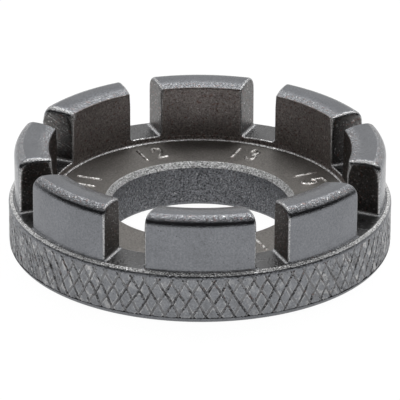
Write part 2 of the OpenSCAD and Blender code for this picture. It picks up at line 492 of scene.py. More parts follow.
def spaced(length, edge_low, edge_high, fine, coarse):
    """Places from 0 to length, fine within the edge distances of each end and coarse between."""
    low = np.arange(0, edge_low, fine)
    high = length - np.arange(0, edge_high, fine)[::-1]
    middle = np.linspace(edge_low, length - edge_high,
                         max(2, round((length - edge_low - edge_high) / coarse) + 1))
    return np.unique(np.round(np.concatenate([low, middle, high]), 9))


def jaw_mesh(shape):
    """A closed block of six grids, drawn over the sharp jaw and settled on the rounded one."""
    s, rounds = SIZES, shape.rounds
    fine = rounds.fineness
    span = (shape.after.angle - shape.before.angle) % (2 * math.pi) * s.seat_r
    fillet = rounds.floor_fillet
    along = spaced(span, FINE_BESIDE_SLOT, FINE_BESIDE_SLOT, fine, COARSE_ACROSS) / span
    depth = spaced(shape.out_r - shape.in_r, rounds.bevel_width, rounds.crown_out, fine, COARSE_ACROSS)
    height = spaced(s.top_h - s.seat_h, fillet, rounds.crown_out, fine, COARSE_UP) + s.seat_h
    angles = np.linspace(0, math.pi / 2, FILLET_ROWS + 1)[1:-1]
    foot = s.seat_h + fillet * (1 - np.cos(angles))
    height = height[height > s.seat_h + fillet - fine / 4]
    levels = np.concatenate([[s.seat_h - rounds.sink], [s.seat_h - rounds.dip], foot, height])

    n, m, q = len(along), len(depth), len(levels)
    index = {}
    faces = []

    def face_grid(first, second, build):
        """Adds one side of the block, and numbers each of its points the first time it is met."""
        for u in range(first - 1):
            for v in range(second - 1):
                corners = (build(u, v), build(u + 1, v), build(u + 1, v + 1), build(u, v + 1))
                faces.append([index.setdefault(corner, len(index)) for corner in corners])

    for k in (0, q - 1):
        face_grid(n, m, lambda u, v, k=k: (u, v, k))
    for j in (0, m - 1):
        face_grid(n, q, lambda u, v, j=j: (u, j, v))
    for i in (0, n - 1):
        face_grid(m, q, lambda u, v, i=i: (i, u, v))

    i, j, k = np.array(list(index)).T
    z = levels[k]
    radius = shape.in_r + depth[j]
    buried = k == 0
    flare = shape.flare(z, fillet)
    begin = shape.before.angle + np.arcsin((shape.before.half - flare) / radius)
    end = shape.after.angle - np.arcsin((shape.after.half - flare) / radius)
    end = begin + (end - begin) % (2 * math.pi)
    p = polar(radius, begin + (end - begin) * along[i], z)
    settled = shape.settle(p.copy(), z < s.seat_h + fillet + LEVEL_ABOVE)
    settled[buried] = p[buried]
    shrink = np.where(buried & (j == m - 1), 1 - rounds.sink / shape.out_r, 1.0)
    settled[:, :2] *= shrink[:, None]
    return mesh_of("jaw", settled, faces)


# Numerals

# Strokes of the digits, as shares of a digit's width and height
DIGIT_STROKES = {
    "0": [("loop", (0.5, 1.0), (0.9, 0.82), (0.95, 0.5), (0.9, 0.18),
           (0.5, 0.0), (0.1, 0.18), (0.05, 0.5), (0.1, 0.82))],
    "1": [("line", (0.5, 0.0), (0.5, 1.0))],
    "2": [("curve", (0.04, 0.74), (0.2, 0.95), (0.52, 1.0), (0.86, 0.9), (0.92, 0.68), (0.7, 0.44),
           (0.0, 0.0)),
          ("line", (0.0, 0.0), (0.98, 0.0))],
    "3": [("curve", (0.04, 0.82), (0.25, 0.98), (0.58, 1.0), (0.88, 0.86), (0.84, 0.64), (0.42, 0.53)),
          ("curve", (0.42, 0.53), (0.86, 0.44), (0.96, 0.22), (0.7, 0.02), (0.3, 0.01), (0.02, 0.18))],
    "4": [("line", (0.72, 0.0), (0.72, 1.0)), ("line", (0.72, 1.0), (0.0, 0.3)),
          ("line", (0.0, 0.3), (1.0, 0.3))],
    "5": [("line", (0.88, 1.0), (0.16, 1.0)), ("line", (0.16, 1.0), (0.1, 0.55)),
          ("curve", (0.1, 0.55), (0.42, 0.66), (0.8, 0.58), (0.95, 0.33), (0.76, 0.06), (0.36, 0.0),
           (0.02, 0.14))],
    "6": [("curve", (0.82, 0.96), (0.4, 0.86), (0.08, 0.5), (0.12, 0.16), (0.5, 0.0),
           (0.9, 0.16), (0.9, 0.46), (0.52, 0.62), (0.12, 0.42))],
    "9": [("curve", (0.18, 0.04), (0.6, 0.14), (0.92, 0.5), (0.88, 0.84), (0.5, 1.0),
           (0.1, 0.84), (0.1, 0.54), (0.48, 0.38), (0.88, 0.58))],
}
LINE_POINTS = 40
CURVE_POINTS = 14
# Where a stroke's shoulder begins and ends, across its edge, and how far below the web it starts,
# as a share of the relief; cells below KEPT_SHARE over that are left out
SHOULDER = (-0.06 * MM, 0.23 * MM)
SUNK_SHARE = 0.12
KEPT_SHARE = 0.01
MARGIN_SHARE = 0.75
# Where a digit's top starts and finishes turning bright: polishing by use together with a painted highlight
WORN_AND_GLINT_SHARES = (0.1, 0.5)
# Height, size and seed of the waves along a stroke's edges
STROKE_WAVES = (0.02 * MM, 0.7 * MM, 31)


def stroke_points(kind, *shares):
    """Points close together along a stroke of a digit, as shares of its width and height."""
    knots = np.array(shares)
    if kind == "line":
        t = np.linspace(0, 1, LINE_POINTS)[:, None]
        return knots[0] * (1 - t) + knots[1] * t
    if kind == "loop":
        knots = np.vstack([knots[-1:], knots, knots[:2]])
    else:
        knots = np.vstack([2 * knots[0] - knots[1], knots, 2 * knots[-1] - knots[-2]])
    pieces = []
    t = np.linspace(0, 1, CURVE_POINTS)[:, None]
    for a, b, c, d in zip(knots, knots[1:], knots[2:], knots[3:]):
        pieces.append(0.5 * (2 * b + (c - a) * t + (2 * a - 5 * b + 4 * c - d) * t ** 2
                             + (3 * b - a - 3 * c + d) * t ** 3))
    return np.vstack(pieces)


def digit_mesh(digit, place, numerals):
    """Points, faces and bright tops of a raised digit, polished by use and painted as a highlight, whose
    strokes have soft shoulders.
    """
    width = 0.0 if digit == "1" else numerals.width
    strokes = np.vstack([stroke_points(*stroke) for stroke in DIGIT_STROKES[digit]])
    strokes = (strokes - 0.5) * [width, numerals.height - numerals.stroke]
    margin = numerals.stroke * MARGIN_SHARE
    low, high = strokes.min(axis=0) - margin, strokes.max(axis=0) + margin
    step = numerals.fineness
    xs, ys = np.arange(low[0], high[0] + step, step), np.arange(low[1], high[1] + step, step)
    x, y = np.meshgrid(xs, ys, indexing="ij")
    cells = np.stack([x.ravel(), y.ravel()], axis=1)
    away = np.full(len(cells), 1.0)
    for point in strokes:
        away = np.minimum(away, np.hypot(*(cells - point).T))
    deep, size, seed = STROKE_WAVES
    rough = deep * wave_noise(np.column_stack([cells, 0 * away]) + place.co, size, seed)
    full = smooth_step(numerals.stroke / 2 + rough - away, *SHOULDER)
    rise = (1 + SUNK_SHARE) * full - SUNK_SHARE
    faces = grid_faces(len(xs), len(ys))
    kept = faces[(rise[faces] > KEPT_SHARE - SUNK_SHARE).any(axis=1)]
    return place.put(cells, SIZES.web_t + numerals.relief * rise), kept, smooth_step(rise, *WORN_AND_GLINT_SHARES)


class DigitPlace:
    """Stands a digit on the web with its top outwards, to one side of a slot's middle."""

    def __init__(self, angle, side, numerals):
        self.out = np.array([math.cos(angle), math.sin(angle)])
        self.right = np.array([math.sin(angle), -math.cos(angle)])
        self.centre = self.out * numerals.radius + self.right * side
        self.co = np.array([*self.centre, 0])

    def put(self, cells, z):
        """Points of the standing digit, from its own flat cells and their heights."""
        flat = self.centre + cells[:, :1] * self.right + cells[:, 1:] * self.out
        return np.column_stack([flat, z])


def close_below(mesh, depth):
    """Turns open patches into closed pieces with a flat underside at this height."""
    work = bmesh.new()
    work.from_mesh(mesh)
    loose = [v for v in work.verts if not v.link_faces]
    bmesh.ops.delete(work, geom=loose, context="VERTS")
    made = bmesh.ops.extrude_face_region(work, geom=work.faces[:])["geom"]
    for vert in (g for g in made if isinstance(g, bmesh.types.BMVert)):
        vert.co.z = depth
    work.to_mesh(mesh)
    work.free()


# Node tools

class Nodes:
    """Short calls that add nodes to one tree and link them."""

    def __init__(self, tree):
        self.tree = tree

    def add(self, kind, **settings):
        node = self.tree.nodes.new(kind)
        for name, value in settings.items():
            setattr(node, name, value)
        return node

    def link(self, source, target):
        self.tree.links.new(source, target)

    def put(self, target, value):
        """Links a socket to the target, or sets the target to a plain value."""
        if isinstance(value, bpy.types.NodeSocket):
            self.link(value, target)
        else:
            target.default_value = value

    def fill(self, node, *values):
        for target, value in zip(node.inputs, values):
            self.put(target, value)
        return node

    def math(self, operation, *values, clamp=False):
        return self.fill(self.add("ShaderNodeMath", operation=operation, use_clamp=clamp), *values).outputs[0]

    def times(self, product, *factors):
        for factor in factors:
            product = self.math("MULTIPLY", product, factor)
        return product

    def plus(self, total, *parts):
        for part in parts:
            total = self.math("ADD", total, part)
        return total

    def most(self, highest, *others):
        for other in others:
            highest = self.math("MAXIMUM", highest, other)
        return highest

    def rest(self, value):
        """What a share leaves of 1."""
        return self.math("SUBTRACT", 1.0, value)

    def size(self, value):
        """The value without its sign."""
        return self.math("ABSOLUTE", value)

    def vector(self, operation, *values, out="Vector"):
        return self.fill(self.add("ShaderNodeVectorMath", operation=operation), *values).outputs[out]

    def dot(self, a, b):
        return self.vector("DOT_PRODUCT", a, b, out="Value")

    def step(self, value, low, high):
        """0 below low and 1 above high, with a smooth change between them."""
        node = self.add("ShaderNodeMapRange", interpolation_type="SMOOTHSTEP")
        return self.fill(node, value, low, high).outputs["Result"]

    def between(self, value, rise, fall):
        """1 between two steps and 0 outside them."""
        return self.math("SUBTRACT", self.step(value, *rise), self.step(value, *fall))

    def noise(self, place, scale, detail, roughness):
        node = self.add("ShaderNodeTexNoise")
        settings = {"Vector": place, "Scale": scale, "Detail": detail, "Roughness": roughness}
        for name, value in settings.items():
            self.put(node.inputs[name], value)
        return node.outputs["Fac"]

    def mix(self, factor, a, b, kind="Float"):
        node = self.add("ShaderNodeMix", data_type="RGBA" if kind == "Color" else "FLOAT")
        for name, value in (("Factor_Float", factor), (f"A_{kind}", a), (f"B_{kind}", b)):
            self.put(next(s for s in node.inputs if s.identifier == name), value)
        return next(s for s in node.outputs if s.identifier == f"Result_{kind}")

    def mix_shaders(self, factor, a, b):
        return self.fill(self.add("ShaderNodeMixShader"), factor, a, b).outputs[0]


def empty_tree(owner):
    """The emptied tree of a material or a world."""
    owner.use_nodes = True
    owner.node_tree.nodes.clear()
    return Nodes(owner.node_tree)


def opaque(color, level=1):
    return tuple(c * level for c in color) + (1,)


# Node groups

# Scale per mm, detail and roughness of the noises in the plated skin
SKIN_NOISES = {
    "grain": (5.5, 3.0, 0.7),
    "fleck": (3.1, 1.5, 0.6),
    "speck": (4.3, 1.0, 0.5),
    "waves": (0.75, 2.0, 0.5),
    "cloud": (0.35, 3.0, 0.6),
    "pitted": (1.3, 1.0, 0.5),
    "patches": (1.9, 2.0, 0.6),
}
# Detail and roughness of the orange peel, whose scale each material gives
PEEL_NOISE = (2.5, 0.6)
PITS_PER_MM = 1.7
# Where the skin's masks begin and are full
SKIN_STEPS = {"fleck": (0.6, 0.68), "speck": (0.62, 0.72), "pitted": (0.55, 0.6),
              "off_pit": (0.05, 0.16)}
# Where the masks over the faces begin and are full, by the parts of the face's normal
FACING_STEPS = {
    "inward": (0.45, 0.8),
    "outward": (0.3, 0.7),
    "off_wall": (0.35, 0.7),
    "not_leaning_in": (-0.25, -0.05),
    "under": (0.3, 0.7),
    "slant": ((0.5, 0.68), (0.965, 0.992)),
    "corner": ((0.2, 0.4), (0.9, 0.97)),
    "not_upright": (0.2, 0.5),
    "over_slot": (0.25, 0.45),
}
# Scale, detail and roughness of the cutter marks' noise
MARK_NOISE = (1.0, 3.0, 0.6)
# The direction up, and the factors that leave only the level part of a place
UP = (0, 0, 1)
LEVEL = (1, 1, 0)


def new_group(name, inputs):
    """An empty group with these inputs and their defaults, and the sockets that they come from."""
    group = bpy.data.node_groups.new(name, "ShaderNodeTree")
    for label, default in inputs.items():
        made = group.interface.new_socket(name=label, socket_type="NodeSocketFloat", in_out="INPUT")
        made.default_value = default
    nodes = Nodes(group)
    return nodes, nodes.add("NodeGroupInput").outputs


def close_group(nodes, results):
    """Gives the group one output for each named result."""
    for label in results:
        nodes.tree.interface.new_socket(name=label, socket_type="NodeSocketFloat", in_out="OUTPUT")
    nodes.fill(nodes.add("NodeGroupOutput"), *results.values())
    return nodes.tree


def place_in_mm(nodes):
    """The place on the wrench in millimetres from the bore's foot."""
    here = nodes.add("ShaderNodeTexCoord").outputs["Object"]
    return nodes.vector("MULTIPLY", here, (1 / MM, 1 / MM, 1 / MM))


def build_skin(name):
    """Plated skin: orange peel, broad waves, small pits, clouds, grain, flecks, specks and patches."""
    nodes, given = new_group(name, {"Peel Size mm": 0.2, "Peel": 1.0, "Waves": 1.0, "Pits": 0.3})
    here = place_in_mm(nodes)
    noise = {part: nodes.noise(here, *settings) for part, settings in SKIN_NOISES.items()}
    peel = nodes.noise(here, nodes.math("DIVIDE", 1.0, given["Peel Size mm"]), *PEEL_NOISE)
    mask = {part: nodes.step(noise[part], *SKIN_STEPS[part]) for part in ("fleck", "speck", "pitted")}
    spots = nodes.add("ShaderNodeTexVoronoi", feature="F1")
    nodes.link(here, spots.inputs["Vector"])
    spots.inputs["Scale"].default_value = PITS_PER_MM
    pit = nodes.rest(nodes.step(spots.outputs["Distance"], *SKIN_STEPS["off_pit"]))
    pit = nodes.times(pit, mask["pitted"], given["Pits"])
    fine = nodes.times(nodes.math("SUBTRACT", peel, 0.5), given["Peel"])
    broad = nodes.times(nodes.math("SUBTRACT", noise["waves"], 0.5), given["Waves"])
    return close_group(nodes, {
        "Height": nodes.math("SUBTRACT", nodes.plus(fine, broad), pit),
        "Cloud": noise["cloud"],
        "Pit Mask": pit,
        "Grain": nodes.math("SUBTRACT", noise["grain"], 0.5),
        "Fleck": mask["fleck"],
        "Speck": mask["speck"],
        "Patches": noise["patches"],
    })


def build_facing(name):
    """Which way a face looks: at the bore, outwards, along the ring, down, or over an edge."""
    nodes, _ = new_group(name, {})
    coords = nodes.add("ShaderNodeTexCoord").outputs
    normal = coords["Normal"]
    spoke = nodes.vector("NORMALIZE", nodes.vector("MULTIPLY", coords["Object"], LEVEL))
    outward = nodes.dot(normal, spoke)
    up = nodes.dot(normal, UP)
    along = nodes.size(nodes.dot(normal, nodes.vector("CROSS_PRODUCT", spoke, UP)))

    def mask(value, part):
        return nodes.step(value, *FACING_STEPS[part])

    slanting = nodes.between(up, *FACING_STEPS["slant"])
    corner = nodes.times(nodes.between(along, *FACING_STEPS["corner"]),
                         nodes.rest(mask(nodes.size(up), "not_upright")))
    return close_group(nodes, {
        "Inward": mask(nodes.times(outward, -1.0), "inward"),
        "Outward": mask(outward, "outward"),
        "Slot Wall": nodes.rest(mask(nodes.plus(nodes.size(outward), nodes.size(up)), "off_wall")),
        "Leaning In": nodes.rest(mask(outward, "not_leaning_in")),
        "Under": mask(nodes.times(up, -1.0), "under"),
        "Edge": nodes.most(slanting, corner),
        "Slot Edge": nodes.most(nodes.times(slanting, mask(along, "over_slot")), corner),
    })


def build_marks(name):
    """Slanting marks that the cutter left on the walls of the slots."""
    nodes, given = new_group(name, {"Marks per mm": 7.0, "Streaks per mm": 0.4, "Slant": 0.45})
    here = place_in_mm(nodes)
    radius = nodes.vector("LENGTH", nodes.vector("MULTIPLY", here, LEVEL), out="Value")
    height = nodes.dot(here, UP)
    across = nodes.math("SUBTRACT", height, nodes.times(radius, given["Slant"]))
    along = nodes.plus(radius, nodes.times(height, given["Slant"]))
    stretched = nodes.fill(nodes.add("ShaderNodeCombineXYZ"), nodes.times(across, given["Marks per mm"]),
                           nodes.times(along, given["Streaks per mm"]))
    return close_group(nodes, {"Height": nodes.noise(stretched.outputs[0], *MARK_NOISE)})


GROUPS = {"Plated skin": build_skin, "Wrench facing": build_facing, "Cutter marks": build_marks}


def place_group(nodes, name, **values):
    """Places the named group with its own values. A group is built the first time it is placed."""
    group = bpy.data.node_groups.get(name) or GROUPS[name](name)
    node = nodes.add("ShaderNodeGroup", node_tree=group)
    for label, value in values.items():
        node.inputs[label.replace("_", " ")].default_value = value
    return node.outputs


# Plating

# Where the clouds and the cutter marks begin and are full, and how soft the rubbed patches' edges are
CLOUD_STEP = (0.3, 0.7)
MARK_STEP = (0.55, 0.68)
PATCH_STEP = 0.16


def plated_material(name, finish, tint, peel, peel_size, rough, waves=1.0, pits=0.3, grain=0.8,
                    inside=None, inside_rough=0.0, inner_peel=1.0, outside=None, under=None,
                    wall=None, wall_rough=0.0, flecks=0.6, glint_specks=0.0, marks=0.0, edge_wear_and_highlight=0.0,
                    slot_wear_and_highlight=0.0, burnish_and_glint=0.0, patches=0.42):
    """Dark nickel-chrome plating over cast steel, with its own strength of skin, marks, polishing by use and
    painted light.

    Faces that look at the bore take the inside colour, which on the jaws and the rim is a warm tone
    lightened as painted light, those that look away from it the outside one, slot walls the wall
    one and faces that look down the under one. Places that the piece marks above zero take the
    bright colour, for polishing by use together with painted glints, and those marked below zero
    the darker groove colour.
    """
    material = bpy.data.materials.new(name)
    nodes = empty_tree(material)
    skin = place_group(nodes, "Plated skin", Peel_Size_mm=peel_size, Peel=peel, Waves=waves, Pits=pits)
    facing = place_group(nodes, "Wrench facing")

    def coat(below, over, mask):
        return nodes.mix(mask, below, opaque(over), "Color")

    clouds = nodes.step(skin["Cloud"], *CLOUD_STEP)
    color = nodes.mix(clouds, opaque(tint, finish.cloud_low), opaque(tint, finish.cloud_high), "Color")
    roughness = nodes.plus(nodes.times(nodes.math("SUBTRACT", clouds, 0.5), finish.cloud_rough), rough)
    if outside:
        color = coat(color, outside, facing["Outward"])
    if wall:
        color = coat(color, wall, nodes.times(facing["Slot Wall"], finish.wall_shade))
        roughness = nodes.plus(roughness, nodes.times(facing["Slot Wall"], wall_rough))
    if inside:
        color = coat(color, inside, facing["Inward"])
        plain = nodes.rest(facing["Edge"])
        roughness = nodes.plus(roughness, nodes.times(facing["Inward"], inside_rough, plain))
    if under:
        color = coat(color, under, facing["Under"])
    thin = nodes.most(facing["Inward"], facing["Edge"], facing["Slot Wall"])
    color = coat(color, finish.fleck_color, nodes.times(skin["Fleck"], thin, flecks))
    # Bright specks on the thin faces: painted glints
    color = coat(color, finish.wear_and_highlight_color, nodes.times(skin["Speck"], thin, glint_specks))
    if marks:
        scored = nodes.step(place_group(nodes, "Cutter marks")["Height"], *MARK_STEP)
        color = coat(color, finish.wear_and_highlight_color, nodes.times(scored, facing["Slot Wall"], marks))
    # Slanting edges and the slot edges turn bright: polishing by use together with a painted highlight
    color = coat(color, finish.wear_and_highlight_color, nodes.times(facing["Edge"], edge_wear_and_highlight))
    if slot_wear_and_highlight:
        color = coat(color, finish.wear_and_highlight_color, nodes.times(facing["Slot Edge"], slot_wear_and_highlight))
    if burnish_and_glint:
        worn_and_glint = nodes.add("ShaderNodeAttribute", attribute_name="wear_and_glint").outputs["Fac"]
        # Groove bottoms turn darker and browner
        dark_grooves = nodes.math("MULTIPLY", worn_and_glint, -finish.groove_darkening, clamp=True)
        # Places marked bright take polishing by use together with painted glints
        rubbed_and_glint = nodes.math("MULTIPLY", worn_and_glint, burnish_and_glint, clamp=True)
        color = coat(color, finish.groove_color, dark_grooves)
        patchy = nodes.step(skin["Patches"], patches, patches + PATCH_STEP)
        color = coat(color, finish.rubbing_and_glint_color, nodes.times(rubbed_and_glint, patchy))
    color = coat(color, finish.pit_color, skin["Pit Mask"])
    grainy = nodes.times(skin["Grain"], nodes.mix(thin, grain, grain * finish.thin_grain))
    height = nodes.times(skin["Height"], nodes.mix(facing["Edge"], finish.flat_peel, 1.0),
                         nodes.mix(facing["Leaning In"], 1.0, inner_peel))
    bump = nodes.add("ShaderNodeBump")
    bump.inputs["Strength"].default_value = 1.0
    bump.inputs["Distance"].default_value = finish.bump_height
    nodes.link(height, bump.inputs["Height"])
    shader = nodes.add("ShaderNodeBsdfPrincipled")
    shader.inputs["Metallic"].default_value = 1.0
    nodes.link(nodes.vector("SCALE", color, (0, 0, 0), (0, 0, 0), nodes.plus(1.0, grainy)),
               shader.inputs["Base Color"])
    nodes.link(roughness, shader.inputs["Roughness"])
    nodes.link(bump.outputs["Normal"], shader.inputs["Normal"])
    nodes.fill(nodes.add("ShaderNodeOutputMaterial"), shader.outputs[0])
    return material


# Settings

def length(text, default, low, high, about):
    """A length given in millimetres."""
    return bpy.props.FloatProperty(name=text, description=about, default=default * MM, min=low * MM,
                                   max=high * MM, unit="LENGTH", precision=5)


def spot(text, default, about):
    """A place given in millimetres."""
    return bpy.props.FloatVectorProperty(name=text, description=about, default=[c * MM for c in default],
                                         size=3, unit="LENGTH", subtype="TRANSLATION")


def turn(text, default, about):
    """An angle given in degrees."""
    return bpy.props.FloatProperty(name=text, description=about, default=math.radians(default),
                                   subtype="ANGLE", precision=4)


def colour(text, default, about):
    return bpy.props.FloatVectorProperty(name=text, description=about, default=default, size=3,
                                         min=0, max=1, subtype="COLOR")


def number(text, default, low, high, about):
    return bpy.props.FloatProperty(name=text, description=about, default=default, min=low, max=high)


def count(text, default, low, high, about):
    return bpy.props.IntProperty(name=text, description=about, default=default, min=low, max=high)


class WrenchEdges(bpy.types.PropertyGroup):
    """Small edge roundings of the web and the rim."""
    bore_edge: length("Bore edge", 0.09, 0, 0.3, "Rounding where the bore's chamfers begin and end")
    band_edge: length("Band edge", 0.04, 0, 0.1, "Rounding of the rim's edge at the top of the knurled band")
    slot_sill: length("Slot sill", 0.2, 0, 0.4, "Rounding of the inner edge of the slot floors")


class WrenchKnurl(bpy.types.PropertyGroup):
    """The diamond knurl."""
    diamonds: count("Diamonds", 90, 40, 140, "Number of diamonds round the rim")
    rows: count("Rows", 4, 2, 6, "Rows in which the grooves cross")
    groove: number("Groove share", 0.25, 0.1, 0.5, "Part of a half pitch that one side of a groove takes")
    depth: length("Groove depth", 0.062, 0, 0.5, "Mean depth of the grooves")
    second_track: number("Second track", 0.13, 0.05, 0.3, "Half width of the tracks between the grooves")
    burr: length("Burr", 0.018, 0, 0.05, "Height of the edge that is thrown up beside a groove")
    # The bright flecks are polishing by use together with painted glints
    flecks: number("Flecks", 0.7, 0, 1, "How bright the rubbed flecks on the lands are")
    tear: length("Tear", 0.06, 0, 0.2, "Depth to which the lands are torn")
    lean: number("Lean", 0.35, 0, 0.8, "How much deeper the grooves that fall are on the left")
    stray: number("Stray", 0.3, 0, 0.5, "How far the grooves wander, as a part of a half pitch")
    overrun: length("Overrun", 0.3, 0, 0.6, "How far the knurl runs down over the rounded foot")
    end_drop: length("End drop", 0.02, 0, 0.2, "How far the lands fall off at the band's ends")
    end_run: length("End run", 0.16, 0, 0.5, "Height over which the lands fall off")


class WrenchRounds(bpy.types.PropertyGroup):
    """Roundings of the jaws."""
    crown_out: length("Outer top", 1.2, 0.1, 1.5, "Rounding of the outer top edge")
    crown_in: length("Inner top", 0.16, 0.05, 1.5, "Rounding between the inner bevel and the inner face")
    bevel_width: length("Bevel width", 0.88, 0.1, 1.5, "Width of the inner top bevel, along a radius")
    bevel_drop: length("Bevel drop", 0.4, 0.1, 1.5, "How far the inner top bevel falls")
    bevel_round: length("Bevel rounding", 0.5, 0.1, 1.5, "Rounding between the top and the inner bevel")
    slot_top: length("Slot top", 0.4, 0.05, 1, "Rounding of the top edges along a slot")
    mouth: length("Slot mouth", 0.3, 0.05, 1, "Rounding of the outer upright edges")
    throat: length("Slot throat", 0.2, 0.05, 1, "Rounding of the inner upright edges")
    floor_fillet: length("Floor fillet", 0.35, 0.1, 1, "Hollow fillet at the foot of a slot's walls")
    foot_fillet: length("Foot fillet", 0.12, 0.05, 0.3, "Hollow fillet at the foot of the outer face")
    waviness: length("Waviness", 0.006, 0, 0.05, "Height of the soft waves in the cast faces")
    fineness: length("Mesh spacing", 0.11, 0.05, 0.5, "Spacing of the mesh over the rounded edges")
    ledge: length("Ledge", 0.03, 0, 0.3, "How far the inner face stands back from the rim's inner edge")
    dip: length("Fillet dip", 0.004, 0, 0.02, "How far the fillets dip into the slot floor")
    sink: length("Root depth", 0.25, 0.1, 1, "How far the root of a jaw reaches into the rim")


class WrenchNumerals(bpy.types.PropertyGroup):
    """The raised size numbers on the web."""
    radius: length("Circle radius", 12.85, 10, 15, "Radius of the circle through the digits' middles")
    height: length("Digit height", 2.95, 1, 4, "Height of a digit")
    width: length("Digit width", 0.95, 0.5, 3, "Width of a digit between its stroke centres")
    pitch: length("Digit pitch", 1.9, 1, 4, "Distance between the middles of two digits")
    stroke: length("Stroke width", 0.46, 0.2, 1, "Width of the strokes")
    relief: length("Relief", 0.13, 0.05, 0.5, "How far the digits stand above the web")
    fineness: length("Mesh spacing", 0.055, 0.02, 0.2, "Spacing of the mesh over a digit")


class WrenchFinish(bpy.types.PropertyGroup):
    """Colours of the plating."""
    plating: colour("Plating", (0.234, 0.241, 0.258), "Dark nickel-chrome plating on the open faces")
    # Darker colour on the rim's upward faces, the slot floors between the jaws, as painted shade; its outward
    # and lower faces take the open plating
    shaded_rim_plating: colour("Rim plating", (0.15, 0.15, 0.152), "The plating on the rim and the slot floors")
    knurl_plating: colour("Knurl plating", (0.27, 0.279, 0.296), "The plating on the knurl")
    inner_plating: colour("Inner plating", (0.228, 0.216, 0.203), "Thinner plating on the web")
    bore_color: colour("Bore", (0.2, 0.206, 0.22), "Plating on the wall of the bore")
    # Faces that look at the bore: a warm tone of thin plating, lightened as painted light
    recess_tone_and_light_color: colour("Recess", (0.41, 0.366, 0.35), "Plating on the faces that look at the bore")
    # Faces of the two side jaws that look at the bore, darkened as painted shade
    painted_shade_recess_color: colour("Dark recess", (0.06, 0.052, 0.047), "The same on the two side jaws")
    wall_color: colour("Slot walls", (0.122, 0.116, 0.11), "Thin plating on the slots' cut walls")
    # Slot walls of the two front jaws, darkened as painted shade
    painted_shade_wall_color: colour("Thin slot walls", (0.115, 0.1, 0.088), "The thinnest plating on cut walls")
    pit_color: colour("Pits", (0.03, 0.024, 0.02), "Bottom of the casting pits")
    # The grooves' bottoms are drawn darker and browner than the lands
    groove_color: colour("Grooves", (0.15, 0.132, 0.115), "Dull brownish bottoms of the knurl's grooves")
    groove_darkening: number("Groove dirt", 0.35, 0, 1, "How far the grooves take their own colour")
    # Bright colour of slanting edges, slot edges and specks: polishing by use together with painted
    # highlights and glints; also the cutter marks
    wear_and_highlight_color: colour("Worn edges", (0.76, 0.76, 0.76), "Plating polished by use")
    # Near-white colour of the knurl's burrs and flecks and the digits' tops: polishing by use together with
    # painted glints
    rubbing_and_glint_color: colour("Rubbed spots", (0.85, 0.83, 0.8), "Bright steel on knurl and numerals")
    fleck_color: colour("Flecks", (0.24, 0.13, 0.11), "Warm flecks in the thin plating")
    wall_shade: number("Slot wall shade", 0.85, 0, 1, "How far the slot walls take their own colour")
    thin_grain: number("Grain of thin plating", 2.6, 0, 4, "Its grain, against that of the open faces")
    cloud_rough: number("Cloud roughness", 0.08, 0, 0.3, "How much rougher bright clouds are than dull ones")
    cloud_low: number("Dull clouds", 0.94, 0.5, 1.5, "Brightness of the duller clouds of the plating")
    cloud_high: number("Bright clouds", 1.06, 0.5, 1.5, "Brightness of the brighter clouds")
    recess_rough: number("Recess roughness", 0.42, 0, 0.7, "What faces that look at the bore add to it")
    flat_peel: number("Peel on flats", 0.35, 0, 1, "Strength of the orange peel on the flat faces")
    bump_height: length("Skin height", 0.1, 0, 0.2, "Height of the plating's orange peel")


class WrenchStage(bpy.types.PropertyGroup):
    """Camera, floor and lights."""
    camera_distance: length("Camera distance", 431.9, 100, 2000, "From the camera to the wrench's foot")
    camera_elevation: turn("Elevation", 24.76, "Camera angle above the floor")
    camera_tilt: turn("Tilt", 0.588, "How far the camera aims above the foot")
    camera_roll: turn("Roll", 0.241, "Turn of the camera about its own line of sight")
    lens: number("Lens", 369.76, 50, 600, "Focal length in millimetres on the camera's sensor")
    sensor: number("Sensor", 36, 5, 50, "Width of the camera's sensor in millimetres")
    clip_start: length("Clip start", 10, 1, 100, "Nearest distance that the camera sees")
    floor_half: length("Floor", 1500, 100, 5000, "Half the width of the floor")
    floor_gap: length("Floor gap", 0.01, 0, 1, "Gap between the floor and the wrench")
    floor_color: colour("Floor colour", (0.9, 0.9, 0.9), "Pale floor")
    floor_white: number("Floor white", 1.06, 0, 2, "Brightness of the floor's even white")
    floor_seen: number("White seen", 0.92, 0, 1, "How far the camera sees the floor as even white")
    floor_mirrored: number("White mirrored", 0.5, 0, 1, "How far mirrors and glass show it so")
    box_size: length("Softbox size", 170, 10, 1000, "Side of a softbox")
    back_box: spot("Back softbox", (140, 230, 480), "Place of the right softbox behind the wrench")
    box_strength: number("Back softboxes", 3.2, 0, 20, "Brightness of the softboxes behind the wrench")
    front_box: spot("Front softbox", (260, -150, 470), "Place of the right softbox before the wrench")
    front_box_strength: number("Front softboxes", 1.4, 0, 20, "Brightness of the softboxes before it")
    box_lean: number("Lean to the right", 0.3, 0, 1, "How much stronger the right softboxes are")
    room_back: number("Back of the room", 0.81, 0, 3, "Brightness of the room behind the wrench")
    room_above: number("Room overhead", 1.3, 0, 3, "Brightness of the room overhead")
    side_fall: number("Dark sides", 0.3, 0, 1, "How far the room's dark front reaches round the sides")
    room_front: number("Front of the room", 0.05, 0, 1, "Brightness of the dark room behind the camera")


# Operators

class WRENCH_OT_web(bpy.types.Operator):
    """Build the flat web with its chamfered bore"""
    bl_idname = "wrench.web"
    bl_label = "Build the web"

    def execute(self, context):
        finish = context.scene.wrench_finish
        # The bore's chamfers and other slanting edges turn bright: polishing by use together with a painted
        # highlight
        material = plated_material("Inner plating", finish, finish.inner_plating, peel=1.3, peel_size=0.16,
                                   rough=0.5, waves=1.8, pits=0.8, grain=1.8, inside=finish.bore_color,
                                   flecks=0.1, glint_specks=0.3, edge_wear_and_highlight=0.85, under=finish.plating)
        finished_piece("web", web_mesh(context.scene.wrench_edges), material, ["web_disc"])
        return {"FINISHED"}


